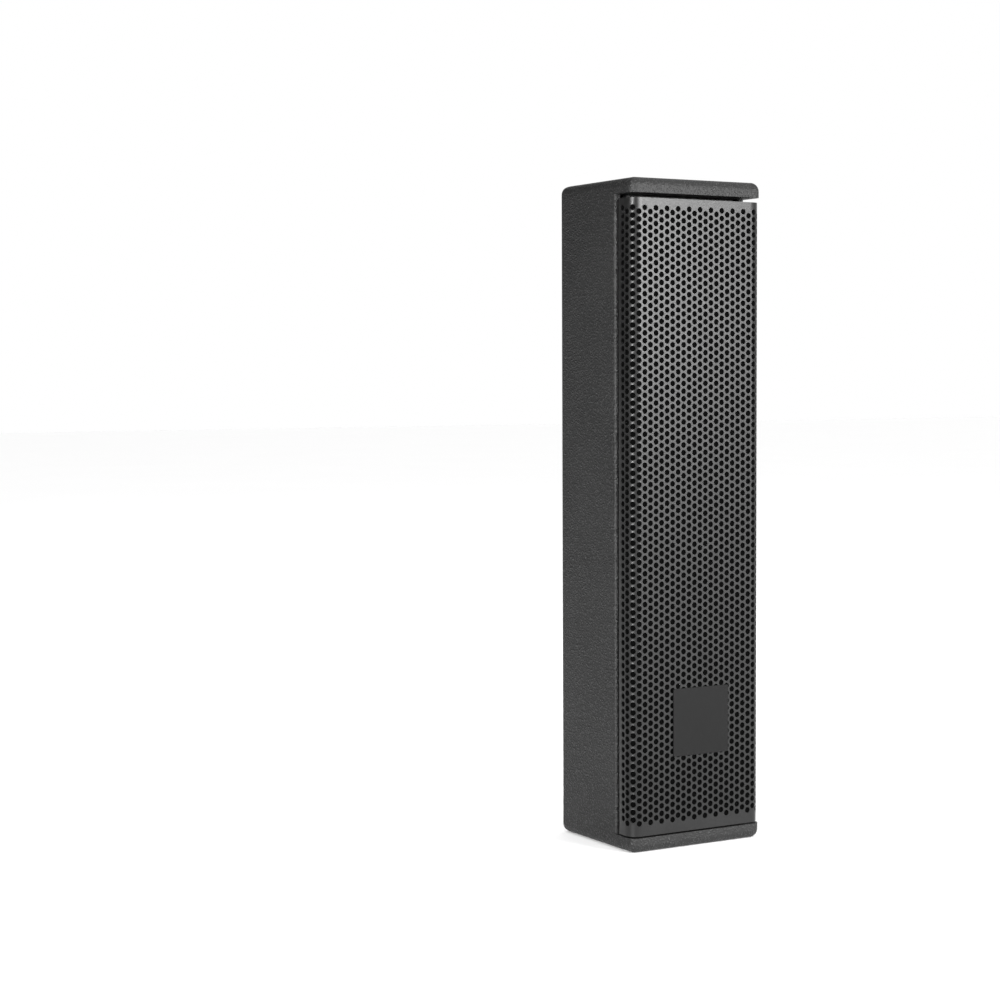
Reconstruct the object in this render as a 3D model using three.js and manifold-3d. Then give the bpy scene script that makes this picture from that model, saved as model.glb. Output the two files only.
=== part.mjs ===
// Column loudspeaker: a slim plywood cabinet with five small drivers behind a
// removable perforated grille.
//
// Millimetres, +Z up. The front faces -Y, +X is to the right seen from the
// front, and the origin is the middle of the footprint at the base. Inside the
// file, y is measured back from the front faces of the top and bottom panels,
// and the whole group is moved forward by half the depth at the end.

import * as THREE from 'three';
import Module from 'manifold-3d';
import { mergeVertices } from 'three/addons/utils/BufferGeometryUtils.js';

const wasm = await Module();
wasm.setup();

// ---------------------------------------------------------------- dimensions

const WIDTH = 124;
const DEPTH = 103;
const HEIGHT = 524;
const BOARD = 12;            // plywood thickness
const OVERHANG = 23.5;       // top and bottom panels reach this far past the sides
const CLEARANCE = 0.3;       // between pieces that meet

const EDGE_ROUND = 7;        // top and bottom panels, all round
const CORNER_ROUND = 6.5;    // front vertical corners of the top and bottom panels
const SIDE_FRONT_ROUND = 2.5;
const SIDE_REAR_ROUND = 2.5; // rear vertical edges of the side, top and bottom panels

const BAFFLE_FRONT = 23;
const BAFFLE_WIDTH = 102.6;
const GROOVE_WIDTH = 5.4;    // between the baffle and each side panel's lip
const RABBET_DEPTH = 12;

const REAR_INSET = 3;
const REAR_FRONT = DEPTH - REAR_INSET - BOARD;
const REAR_BACK = DEPTH - REAR_INSET;

const GRILLE_FRONT = 0.8;    // the badge plate fills this, level with the panels' fronts
const GRILLE_BOTTOM = 13.2;
const GRILLE_TOP = 508.2;
const GRILLE_SHEET = 1.2;
const GRILLE_BEND = 6.5;     // outer radius of the front corners
const GRILLE_RETURN = 18.2;  // depth of the grille's sides
const TONGUE_BACK = 32;      // rear edge of the tongues that push into the grooves
const TONGUE_GAP = 0.5;      // from a tongue to the groove's outer wall
const CLOTH_THICKNESS = 1;
const CLOTH_MARGIN = 3;      // the cloth stops this short of the sheet's edges

const BADGE = { width: 52.5, height: 53.5, x: 3.4, z: 99.8 };

const DRIVER_MIDDLE = 262;   // height of the middle driver
const INNER_PITCH = 97;      // from the middle driver to its neighbours
const OUTER_PITCH = 92.5;    // from those to the end drivers

const PORT_RADIUS = 9.5;
const PORT_X = 39.5;
const PORT_PITCH = 49.8;     // above and below the middle driver

const ROUND_SEGMENTS = 16;
const SMALL_ROUND_SEGMENTS = 8;
const OVERCUT = 1;           // a cutting tool runs this far past what it cuts

// A driver's depths are measured like the cabinet's, back from the front.
const WOOFER = {
  half: 44.75, chamfer: 17.6, corner: 8, front: 17.5, ledge: 19.8,
  screw: 33.5, notch: 4.8, notchDepth: 20.7, mouth: 38.5, throat: 35, basket: 36.6, cutout: 37.2,
  cone: 31.2, coneFront: 22.4, capRing: 14.5, capRingDepth: 30.3, neckDepth: 32.4,
  roll: [[38.2, 18.9], [36.7, 18.9], [35.8, 17.9], [34.5, 18.2], [31.7, 21.3], [30.2, 21.4]],
  cap: [[13.0, 30.5], [9.5, 28.2], [5.0, 26.9], [0, 26.4]],
};
const MIDRANGE = {
  half: 46.8, chamfer: 19, corner: 8, front: 21, ledge: 21.9,
  screw: 34.5, notch: 3.6, notchDepth: 21.6, mouth: 42, throat: 38, basket: 39.6, cutout: 40.2,
  cone: 35.2, coneFront: 23.4, capRing: 11.4, capRingDepth: 28.6, neckDepth: 29.4,
  roll: [[41.7, 21.0], [40.4, 20.8], [39.5, 19.8], [38.2, 20.2], [36.2, 22.2], [34.4, 22.4]],
  cap: [[10.3, 28.1], [7.6, 25.6], [4.0, 24.2], [0, 23.7]],
};

const PAPER = 0.8;           // cone and cap thickness
const ROLL_THICKNESS = 0.6;
const COIL = { inner: 10, former: 10.5, winding: 10.9, windingFront: 43.5, back: 50.5 };
const SPIDER = {
  inner: 11.2, crest: 14.5, trough: 18, outer: 25.4, depth: 37.2, wave: 0.6, thickness: 0.6,
};
const MOTOR = {
  front: 41.8, plate: 4.2, back: 60, plateRadius: 26, magnetRadius: 30,
  poleRadius: 9.4, gapRadius: 11.5, gapBack: 54.5,
};
const BASKET = {
  shoulder: 30, shoulderRadius: 0.98, rear: 28.5, seatDepth: 38.5, ringFront: 40,
  ringBack: 41.5, hub: 13, wall: 1.5, seatInner: 21,
  windowWidth: 30, windowFront: 25.5, windowBack: 37,
};

const INPUT = { z: 118, width: 84, height: 50, thickness: 2, cutWidth: 72, cutHeight: 38 };
const SOCKET = {
  x: 18, radius: 12.3, hole: 12.6, front: 78, back: 102.6, mouth: 10.5,
  mouthDepth: 16, post: 5, postShort: 1.4, flange: 27, flangeBack: 99.7, flangeThickness: 2,
};
const INSERT = {
  spacing: 140, flange: 8, flangeThickness: 1.4, barrel: 5.4, bore: 3.4, hole: 5.7, front: 89,
};
const CROSSOVER = { z: 200, width: 80, height: 70, thickness: 1.6, back: 84 };
// The parts on the crossover board: x and z are from the board's middle.
const INDUCTOR = { x: -20, inner: 6, outer: 15, depth: 12 };
const CAPACITOR = { x: 12, z: 12, radius: 7, length: 26 };
const RESISTOR = { x: 18, z: -20, length: 28, width: 9 };
const WADDING = { bottom: 245, top: 505, width: 92, front: 66, back: 87.5 };

// ----------------------------------------------------------------- materials

const finish = (color, roughness, metalness = 0) =>
  new THREE.MeshStandardMaterial({ color, roughness, metalness });

const texturedPaint = finish(0x2b2b2c, 0.75);
const grilleCoat = finish(0x161617, 0.45, 0.3);
const acousticCloth = finish(0x070707, 1);
const badgeCoat = finish(0x2a2a2b, 0.5, 0.2);
const frameSteel = finish(0x2e2e2f, 0.55, 0.2);
const rollFoam = finish(0x1a1a1b, 0.6);
const conePaper = finish(0x303031, 0.8);
const capPaper = finish(0x383839, 0.7);
const capMetal = finish(0x8a8b8e, 0.15, 1);
const coilAluminium = finish(0xa07a4a, 0.5, 0.7);
const spiderCloth = finish(0xb08a3c, 0.9);
const motorSteel = finish(0x3a3a3d, 0.5, 0.6);
const plateSteel = finish(0x18181a, 0.5, 0.3);
const socketPlastic = finish(0x141416, 0.55);
const insertZinc = finish(0xb9b9b4, 0.4, 0.9);
const boardLaminate = finish(0x2f5d3a, 0.6);
const coilCopper = finish(0xb06b35, 0.4, 0.9);
const capacitorFilm = finish(0xc2a53a, 0.5);
const resistorCeramic = finish(0xd8d4c8, 0.85);
const waddingFibre = finish(0xd9d9d4, 1);

// ------------------------------------------------------------ shape helpers

const cabinet = new THREE.Group();

function add(name, geometry, material, parent = cabinet) {
  const mesh = new THREE.Mesh(geometry, material);
  mesh.name = name;
  parent.add(mesh);
  return mesh;
}

function block(width, depth, height, x, y, z) {
  return new THREE.BoxGeometry(width, depth, height).translate(x, y, z);
}

// A block given by its x, y and z limits.
function span([x0, x1], [y0, y1], [z0, z1]) {
  return block(x1 - x0, y1 - y0, z1 - z0, (x0 + x1) / 2, (y0 + y1) / 2, (z0 + z1) / 2);
}

function signedArea(points) {
  return points.reduce((sum, [x, y], i) => {
    const [nextX, nextY] = points[(i + 1) % points.length];
    return sum + (x * nextY - nextX * y) / 2;
  }, 0);
}

// Turns a closed [radius, depth] outline about the Y axis.
function turned(outline, segments = ROUND_SEGMENTS) {
  const points = signedArea(outline) < 0 ? [...outline].reverse() : [...outline];
  const axisPoints = points.filter(([radius]) => radius === 0).length;
  if (axisPoints) {
    while (points[0][0] !== 0 || points.at(-1)[0] !== 0) points.push(points.shift());
  } else {
    points.push(points[0]);
  }
  const profile = points.map(([radius, depth]) => new THREE.Vector2(radius, depth));
  return new THREE.LatheGeometry(profile, segments);
}

// A cylinder along Y between two depths, on the same facets as turned().
function drill(radius, y0, y1, x = 0, z = 0, segments = ROUND_SEGMENTS) {
  return turned([[0, y0], [radius, y0], [radius, y1], [0, y1]], segments).translate(x, 0, z);
}

// An [x, z] outline made into a plate between two depths.
function plate(shape, y0, y1) {
  const settings = { depth: y1 - y0, bevelEnabled: false, curveSegments: 2 };
  const geometry = new THREE.ExtrudeGeometry(shape, settings);
  return geometry.rotateX(Math.PI / 2).translate(0, y1, 0);
}

// An [x, y] outline made into a bar between two heights.
function bar(shape, z0, z1) {
  const settings = { depth: z1 - z0, bevelEnabled: false, curveSegments: 3 };
  const geometry = new THREE.ExtrudeGeometry(shape, settings);
  return geometry.translate(0, 0, z0);
}

function toSolid(geometry) {
  const plain = geometry.clone();
  plain.deleteAttribute('normal');
  plain.deleteAttribute('uv');
  const merged = mergeVertices(plain, 1e-4);
  return new wasm.Manifold(new wasm.Mesh({
    numProp: 3,
    vertProperties: new Float32Array(merged.attributes.position.array),
    triVerts: new Uint32Array(merged.index.array),
  }));
}

function toGeometry(solid) {
  const { vertProperties, triVerts } = solid.getMesh();
  const geometry = new THREE.BufferGeometry();
  geometry.setAttribute('position', new THREE.BufferAttribute(vertProperties, 3));
  geometry.setIndex(new THREE.BufferAttribute(triVerts, 1));
  geometry.computeVertexNormals();
  return geometry;
}

function cut(body, ...tools) {
  return toGeometry(tools.reduce((solid, tool) => solid.subtract(toSolid(tool)), toSolid(body)));
}

function join(...pieces) {
  const [first, ...others] = pieces.map(toSolid);
  return toGeometry(others.reduce((solid, other) => solid.add(other), first));
}

// A square outline with cut corners, each new corner rounded.
function chamferedSquare(half, chamfer, radius) {
  const inner = half - chamfer;
  const corners = [
    [half, -inner], [half, inner], [inner, half], [-inner, half],
    [-half, inner], [-half, -inner], [-inner, -half], [inner, -half],
  ];
  const trim = radius * Math.tan(Math.PI / 8);
  const shape = new THREE.Shape();
  corners.forEach((corner, i) => {
    const at = new THREE.Vector2(...corner);
    const before = new THREE.Vector2(...corners.at(i - 1)).sub(at).setLength(trim).add(at);
    const after = new THREE.Vector2(...corners[(i + 1) % 8]).sub(at).setLength(trim).add(at);
    if (i === 0) shape.moveTo(before.x, before.y);
    else shape.lineTo(before.x, before.y);
    shape.quadraticCurveTo(at.x, at.y, after.x, after.y);
  });
  shape.closePath();
  return shape;
}

// ------------------------------------------------------------------- cabinet

// One ring of a panel's outline, drawn in from the footprint by `inset`.
function panelRing(inset) {
  const stepsPerCorner = 3;
  const sharpest = 0.5;
  const ring = [];
  for (let corner = 0; corner < 4; corner += 1) {
    const [right, rear] = [corner === 0 || corner === 3, corner < 2];
    const radius = Math.max((rear ? SIDE_REAR_ROUND : CORNER_ROUND) - inset, sharpest);
    const centreX = (right ? 1 : -1) * (WIDTH / 2 - inset - radius);
    const centreY = (rear ? 1 : -1) * (DEPTH / 2 - inset - radius);
    for (let step = 0; step <= stepsPerCorner; step += 1) {
      const angle = (corner + step / stepsPerCorner) * Math.PI / 2;
      ring.push([centreX + radius * Math.cos(angle), DEPTH / 2 + centreY + radius * Math.sin(angle)]);
    }
  }
  return ring;
}

// The top panel, or with `flip` the bottom panel: a board rounded over all round.
function endPanel(flip) {
  const steps = 4;
  const levels = [[0, 0]];
  for (let step = 0; step <= steps; step += 1) {
    const angle = (step / steps) * Math.PI / 2;
    levels.push([BOARD - EDGE_ROUND + EDGE_ROUND * Math.sin(angle), EDGE_ROUND * (1 - Math.cos(angle))]);
  }
  const rings = levels.map(([height, inset]) =>
    panelRing(inset).map(([x, y]) => [x, y, flip ? BOARD - height : HEIGHT - BOARD + height]));
  const count = rings[0].length;
  const faces = [];
  for (let level = 0; level + 1 < rings.length; level += 1) {
    for (let i = 0; i < count; i += 1) {
      const [a, b] = [level * count + i, level * count + (i + 1) % count];
      faces.push([a, b, b + count], [a, b + count, a + count]);
    }
  }
  const last = (rings.length - 1) * count;
  for (let i = 1; i + 1 < count; i += 1) {
    faces.push([0, i + 1, i], [last, last + i, last + i + 1]);
  }
  const geometry = new THREE.BufferGeometry();
  geometry.setAttribute('position', new THREE.Float32BufferAttribute(rings.flat(2), 3));
  geometry.setIndex(faces.flatMap(([a, b, c]) => (flip ? [a, c, b] : [a, b, c])));
  geometry.computeVertexNormals();
  return geometry;
}

// A side panel: a board with a step cut along its inner front edge. The step
// takes the baffle's edge and leaves a groove for the grille's tongue.
function sidePanel(side) {
  const outer = WIDTH / 2;
  const inner = outer - BOARD;
  const lip = BAFFLE_WIDTH / 2 + GROOVE_WIDTH;
  const shape = new THREE.Shape();
  shape.moveTo(side * lip, OVERHANG);
  shape.lineTo(side * (outer - SIDE_FRONT_ROUND), OVERHANG);
  shape.quadraticCurveTo(side * outer, OVERHANG, side * outer, OVERHANG + SIDE_FRONT_ROUND);
  shape.lineTo(side * outer, DEPTH - SIDE_REAR_ROUND);
  shape.quadraticCurveTo(side * outer, DEPTH, side * (outer - SIDE_REAR_ROUND), DEPTH);
  shape.lineTo(side * inner, DEPTH);
  shape.lineTo(side * inner, BAFFLE_FRONT + RABBET_DEPTH + CLEARANCE);
  shape.lineTo(side * lip, BAFFLE_FRONT + RABBET_DEPTH + CLEARANCE);
  shape.closePath();
  return bar(shape, BOARD, HEIGHT - BOARD);
}

const driverPlaces = [
  { z: DRIVER_MIDDLE + INNER_PITCH + OUTER_PITCH, kind: WOOFER },
  { z: DRIVER_MIDDLE + INNER_PITCH, kind: WOOFER },
  { z: DRIVER_MIDDLE, kind: MIDRANGE },
  { z: DRIVER_MIDDLE - INNER_PITCH, kind: WOOFER },
  { z: DRIVER_MIDDLE - INNER_PITCH - OUTER_PITCH, kind: WOOFER },
];

function baffle() {
  const back = BAFFLE_FRONT + BOARD;
  const board = span([-BAFFLE_WIDTH / 2, BAFFLE_WIDTH / 2], [BAFFLE_FRONT, back],
    [BOARD + CLEARANCE, HEIGHT - BOARD - CLEARANCE]);
  const [from, to] = [BAFFLE_FRONT - OVERCUT, back + OVERCUT];
  const driverHoles = driverPlaces.map(({ z, kind }) => drill(kind.cutout, from, to, 0, z));
  const portHoles = [-1, 1].flatMap((side) => [-1, 1].map((level) =>
    drill(PORT_RADIUS, from, to, side * PORT_X, DRIVER_MIDDLE + level * PORT_PITCH)));
  return cut(board, ...driverHoles, ...portHoles);
}

const insertHeights = [DRIVER_MIDDLE + INSERT.spacing / 2, DRIVER_MIDDLE - INSERT.spacing / 2];

function rearPanel() {
  const inner = WIDTH / 2 - BOARD;
  const board = span([-inner + CLEARANCE, inner - CLEARANCE], [REAR_FRONT, REAR_BACK],
    [BOARD + CLEARANCE, HEIGHT - BOARD - CLEARANCE]);
  const inputHole = block(INPUT.cutWidth, 3 * BOARD, INPUT.cutHeight, 0, REAR_BACK, INPUT.z);
  const insertHoles = insertHeights.map((z) =>
    drill(INSERT.hole, REAR_FRONT - OVERCUT, REAR_BACK + OVERCUT, 0, z));
  return cut(board, inputHole, ...insertHoles);
}

add('top_panel', endPanel(false), texturedPaint);
add('bottom_panel', endPanel(true), texturedPaint);
add('left_side_panel', sidePanel(-1), texturedPaint);
add('right_side_panel', sidePanel(1), texturedPaint);
add('rear_panel', rearPanel(), texturedPaint);
add('baffle', baffle(), texturedPaint);

// -------------------------------------------------------------------- grille

// Half of the grille's section, from the front corner to the end of the tongue:
// its outer side, or the inner side when `inset` is the sheet's thickness.
function grilleSide(side, inset) {
  const outer = WIDTH / 2 - inset;
  const bend = GRILLE_BEND - inset;
  const flange = GRILLE_RETURN - inset;
  const tongue = BAFFLE_WIDTH / 2 + GROOVE_WIDTH - TONGUE_GAP - inset;
  const steps = 3;
  const points = [];
  for (let step = 0; step <= steps; step += 1) {
    const angle = (step / steps) * Math.PI / 2;
    points.push([outer - bend + bend * Math.sin(angle), inset + bend - bend * Math.cos(angle)]);
  }
  points.push([outer, flange], [tongue, flange], [tongue, TONGUE_BACK - GRILLE_FRONT]);
  return points.map(([x, y]) => new THREE.Vector2(side * x, y));
}

function grille() {
  const outline = [
    ...grilleSide(1, 0), ...grilleSide(1, GRILLE_SHEET).reverse(),
    ...grilleSide(-1, GRILLE_SHEET), ...grilleSide(-1, 0).reverse(),
  ];
  return bar(new THREE.Shape(outline), GRILLE_BOTTOM, GRILLE_TOP).translate(0, GRILLE_FRONT, 0);
}

const clothFront = GRILLE_FRONT + GRILLE_SHEET + CLEARANCE;
const clothHalf = WIDTH / 2 - GRILLE_BEND - CLOTH_MARGIN / 2;

add('grille', grille(), grilleCoat);
add('grille_cloth', span([-clothHalf, clothHalf], [clothFront, clothFront + CLOTH_THICKNESS],
  [GRILLE_BOTTOM + CLOTH_MARGIN, GRILLE_TOP - CLOTH_MARGIN]), acousticCloth);
add('badge_plate', block(BADGE.width, GRILLE_FRONT, BADGE.height,
  BADGE.x, GRILLE_FRONT / 2, BADGE.z), badgeCoat);

// ------------------------------------------------------------------- drivers
// Every driver is built about its own axis, along Y, and lifted to its height.

function driverFrame(kind) {
  const outline = chamferedSquare(kind.half, kind.chamfer, kind.corner);
  const back = BAFFLE_FRONT - CLEARANCE;
  const flange = cut(
    plate(outline, kind.front, back),
    drill(kind.throat, kind.front - OVERCUT, back + OVERCUT),
    drill(kind.mouth, kind.front - OVERCUT, kind.ledge),
    ...screwPlaces(kind).map(([x, z]) =>
      drill(kind.notch, kind.front - OVERCUT, kind.notchDepth, x, z, SMALL_ROUND_SEGMENTS)),
  );
  const wall = BASKET.wall;
  const shoulder = kind.basket * BASKET.shoulderRadius;
  const basket = turned([
    [kind.basket, back - 1], [shoulder, BASKET.shoulder], [BASKET.rear, BASKET.seatDepth],
    [BASKET.rear, BASKET.ringBack], [BASKET.hub, BASKET.ringBack], [BASKET.hub, BASKET.ringFront],
    [BASKET.seatInner, BASKET.ringFront], [BASKET.seatInner, BASKET.seatDepth],
    [BASKET.rear - wall, BASKET.seatDepth], [shoulder - wall, BASKET.shoulder],
    [kind.basket - wall, back - 1],
  ]);
  const windowDepth = BASKET.windowBack - BASKET.windowFront;
  const windowMiddle = (BASKET.windowBack + BASKET.windowFront) / 2;
  const across = 3 * kind.basket;
  return cut(
    join(flange, basket),
    block(across, windowDepth, BASKET.windowWidth, 0, windowMiddle, 0),
    block(BASKET.windowWidth, windowDepth, across, 0, windowMiddle, 0),
  );
}

function screwPlaces(kind) {
  return [-1, 1].flatMap((side) => [-1, 1].map((level) => [side * kind.screw, level * kind.screw]));
}

// A thin shell: the front outline and the same outline moved back.
function shell(front, thickness) {
  const back = front.map(([radius, depth]) => [radius, depth + thickness]).reverse();
  return turned([...front, ...back]);
}

function cone(kind) {
  return shell([
    [kind.cone, kind.coneFront], [kind.capRing, kind.capRingDepth],
    [COIL.winding + CLEARANCE, kind.neckDepth],
  ], PAPER);
}

function voiceCoil(kind) {
  const front = kind.neckDepth - CLEARANCE;
  return turned([
    [COIL.inner, front], [COIL.former, front],
    [COIL.former, COIL.windingFront], [COIL.winding, COIL.windingFront],
    [COIL.winding, COIL.back], [COIL.inner, COIL.back],
  ]);
}

function spider() {
  const { inner, crest, trough, outer, depth, wave, thickness } = SPIDER;
  return shell([[inner, depth], [crest, depth - wave], [trough, depth + wave], [outer, depth]], thickness);
}

function motor() {
  const { front, plate: plateThickness, back, plateRadius, magnetRadius } = MOTOR;
  const { poleRadius, gapRadius, gapBack } = MOTOR;
  return turned([
    [0, front], [poleRadius, front], [poleRadius, gapBack], [gapRadius, gapBack], [gapRadius, front],
    [plateRadius, front], [plateRadius, front + plateThickness],
    [magnetRadius, front + plateThickness], [magnetRadius, back], [0, back],
  ]);
}

driverPlaces.forEach(({ z, kind }, index) => {
  const driver = new THREE.Group();
  driver.position.z = z;
  cabinet.add(driver);
  const number = index + 1;
  add(`driver_frame_${number}`, driverFrame(kind), frameSteel, driver);
  add(`surround_${number}`, shell(kind.roll, ROLL_THICKNESS), rollFoam, driver);
  add(`cone_${number}`, cone(kind), conePaper, driver);
  add(`dust_cap_${number}`, shell(kind.cap, ROLL_THICKNESS), kind === WOOFER ? capPaper : capMetal, driver);
  add(`voice_coil_${number}`, voiceCoil(kind), coilAluminium, driver);
  add(`spider_${number}`, spider(), spiderCloth, driver);
  add(`motor_${number}`, motor(), motorSteel, driver);
});

// ---------------------------------------------------------- rear and inside

function inputPlate() {
  const sheet = block(INPUT.width, INPUT.thickness, INPUT.height,
    0, REAR_BACK + INPUT.thickness / 2, INPUT.z);
  const holes = [-1, 1].map((side) =>
    drill(SOCKET.hole, REAR_BACK - OVERCUT, DEPTH, side * SOCKET.x, INPUT.z));
  return cut(sheet, ...holes);
}

// A round four-pole speaker socket: a deep ring-shaped mouth about a middle post.
function socket() {
  const floor = SOCKET.back - SOCKET.mouthDepth;
  const body = turned([
    [0, SOCKET.front], [SOCKET.radius, SOCKET.front], [SOCKET.radius, SOCKET.back],
    [SOCKET.mouth, SOCKET.back], [SOCKET.mouth, floor], [SOCKET.post, floor],
    [SOCKET.post, SOCKET.back - SOCKET.postShort], [0, SOCKET.back - SOCKET.postShort],
  ]);
  const flangeMiddle = SOCKET.flangeBack - SOCKET.flangeThickness / 2;
  const flange = cut(
    block(SOCKET.flange, SOCKET.flangeThickness, SOCKET.flange, 0, flangeMiddle, 0),
    drill(SOCKET.mouth + 1, SOCKET.front, SOCKET.back),
  );
  return join(body, flange);
}

function wallInsert() {
  return turned([
    [INSERT.bore, INSERT.front], [INSERT.barrel, INSERT.front], [INSERT.barrel, REAR_BACK],
    [INSERT.flange, REAR_BACK], [INSERT.flange, REAR_BACK + INSERT.flangeThickness],
    [INSERT.bore, REAR_BACK + INSERT.flangeThickness],
  ]);
}

add('input_plate', inputPlate(), plateSteel);
add('speaker_socket_left', socket().translate(-SOCKET.x, 0, INPUT.z), socketPlastic);
add('speaker_socket_right', socket().translate(SOCKET.x, 0, INPUT.z), socketPlastic);
add('wall_insert_upper', wallInsert().translate(0, 0, insertHeights[0]), insertZinc);
add('wall_insert_lower', wallInsert().translate(0, 0, insertHeights[1]), insertZinc);

const boardFront = CROSSOVER.back - CROSSOVER.thickness;
const partBack = boardFront - CLEARANCE;

add('crossover_board', block(CROSSOVER.width, CROSSOVER.thickness, CROSSOVER.height,
  0, boardFront + CROSSOVER.thickness / 2, CROSSOVER.z), boardLaminate);
const inductorFront = partBack - INDUCTOR.depth;
add('crossover_coil', turned([
  [INDUCTOR.inner, inductorFront], [INDUCTOR.outer, inductorFront],
  [INDUCTOR.outer, partBack], [INDUCTOR.inner, partBack],
]).translate(INDUCTOR.x, 0, CROSSOVER.z), coilCopper);
add('crossover_capacitor', new THREE.CylinderGeometry(
  CAPACITOR.radius, CAPACITOR.radius, CAPACITOR.length, ROUND_SEGMENTS,
).rotateX(Math.PI / 2).translate(CAPACITOR.x, partBack - CAPACITOR.radius, CROSSOVER.z + CAPACITOR.z),
capacitorFilm);
add('crossover_resistor', block(RESISTOR.length, RESISTOR.width, RESISTOR.width,
  RESISTOR.x, partBack - RESISTOR.width / 2, CROSSOVER.z + RESISTOR.z), resistorCeramic);
add('wadding', span([-WADDING.width / 2, WADDING.width / 2], [WADDING.front, WADDING.back],
  [WADDING.bottom, WADDING.top]), waddingFibre);

cabinet.position.y = -DEPTH / 2;

export default cabinet;
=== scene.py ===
"""Looks of the column loudspeaker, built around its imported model.

Lengths are in metres, in the part's own frame: the front faces -Y, +X is to the right seen from
the front, +Z is up, and the origin is the middle of the footprint on the floor. Depths given in
millimetres are measured back from the front faces of the top and bottom panels, as on a drawing.
The numbers in an outline are its own distances and depths, in millimetres.
"""

import math

import bmesh
import bpy
import numpy as np
from mathutils import Matrix, Vector


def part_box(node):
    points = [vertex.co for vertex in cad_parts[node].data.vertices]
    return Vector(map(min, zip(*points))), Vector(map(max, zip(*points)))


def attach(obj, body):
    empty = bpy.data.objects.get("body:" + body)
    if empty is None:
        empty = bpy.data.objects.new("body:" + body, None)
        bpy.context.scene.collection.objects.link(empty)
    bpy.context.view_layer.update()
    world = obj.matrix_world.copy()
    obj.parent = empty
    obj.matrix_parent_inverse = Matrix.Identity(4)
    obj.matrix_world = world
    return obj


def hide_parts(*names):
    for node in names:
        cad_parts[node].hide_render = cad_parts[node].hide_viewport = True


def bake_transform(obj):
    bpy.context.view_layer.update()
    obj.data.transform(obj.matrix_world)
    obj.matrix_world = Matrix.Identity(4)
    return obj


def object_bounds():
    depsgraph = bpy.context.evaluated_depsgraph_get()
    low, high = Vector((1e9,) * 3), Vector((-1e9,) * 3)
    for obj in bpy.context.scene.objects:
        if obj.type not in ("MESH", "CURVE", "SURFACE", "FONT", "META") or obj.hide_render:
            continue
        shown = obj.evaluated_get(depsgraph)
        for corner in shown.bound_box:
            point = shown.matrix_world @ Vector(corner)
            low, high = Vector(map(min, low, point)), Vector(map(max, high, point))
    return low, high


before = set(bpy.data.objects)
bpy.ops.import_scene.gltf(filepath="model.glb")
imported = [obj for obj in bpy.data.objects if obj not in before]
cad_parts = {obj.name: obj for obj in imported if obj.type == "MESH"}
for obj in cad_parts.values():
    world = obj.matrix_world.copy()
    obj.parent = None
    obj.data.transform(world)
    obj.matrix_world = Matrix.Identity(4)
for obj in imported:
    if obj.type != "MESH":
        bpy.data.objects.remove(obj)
cad_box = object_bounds()

MM = 0.001
FRONT = cad_box[0].y / MM          # the y of the panels' front faces, in millimetres
SAME_POINT = 1e-7                  # points nearer than this many metres are joined
DRIVERS = (1, 2, 3, 4, 5)
MIDDLE_DRIVER = 3
CORNERS = ((-1, -1), (-1, 1), (1, -1), (1, 1))


def node_box(node):
    """A CAD node's limits in millimetres: x, depth behind the front faces, and z."""
    low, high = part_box(node)
    return (
        (low.x / MM, high.x / MM),
        (low.y / MM - FRONT, high.y / MM - FRONT),
        (low.z / MM, high.z / MM),
    )


def middle(limits):
    return (limits[0] + limits[1]) / 2


# --------------------------------------------------------------------------- mesh helpers


def link(name, data):
    """An object that holds this mesh, light or camera, in the scene."""
    made = bpy.data.objects.new(name, data)
    bpy.context.scene.collection.objects.link(made)
    return made


def to_frame(points):
    """Points given as x, depth, z in millimetres, in the part's frame in metres."""
    return (np.asarray(points, float) + (0, FRONT, 0)) * MM


def shade(mesh, degrees=32):
    """Smooth shading, with the edges sharper than this kept crisp."""
    work = bmesh.new()
    work.from_mesh(mesh)
    limit = math.radians(degrees)
    for face in work.faces:
        face.smooth = True
    for edge in work.edges:
        edge.smooth = len(edge.link_faces) == 2 and edge.calc_face_angle() < limit
    work.to_mesh(mesh)
    work.free()


def solid(name, points, faces, degrees=32):
    """A closed mesh object from points in millimetres, with its normals facing out."""
    mesh = bpy.data.meshes.new(name)
    mesh.from_pydata(to_frame(points).tolist(), [], [list(map(int, f)) for f in faces])
    work = bmesh.new()
    work.from_mesh(mesh)
    bmesh.ops.remove_doubles(work, verts=work.verts, dist=SAME_POINT)
    bmesh.ops.dissolve_degenerate(work, edges=work.edges, dist=SAME_POINT / 10)
    bmesh.ops.recalc_face_normals(work, faces=work.faces)
    work.to_mesh(mesh)
    work.free()
    shade(mesh, degrees)
    return link(name, mesh)


def loft(rings, closed=False):
    """Points and faces joining rings of equal length. An open loft gets a cap at each end."""
    count = len(rings[0])
    points = np.concatenate([np.asarray(ring, float) for ring in rings])
    faces = []
    last = len(rings) if closed else len(rings) - 1
    for level in range(last):
        low, high = level * count, (level + 1) % len(rings) * count
        for i in range(count):
            j = (i + 1) % count
            faces.append((low + i, low + j, high + j, high + i))
    if not closed:
        faces.append(tuple(range(count)))
        faces.append(tuple(range(len(points) - count, len(points))))
    return points, faces


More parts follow.
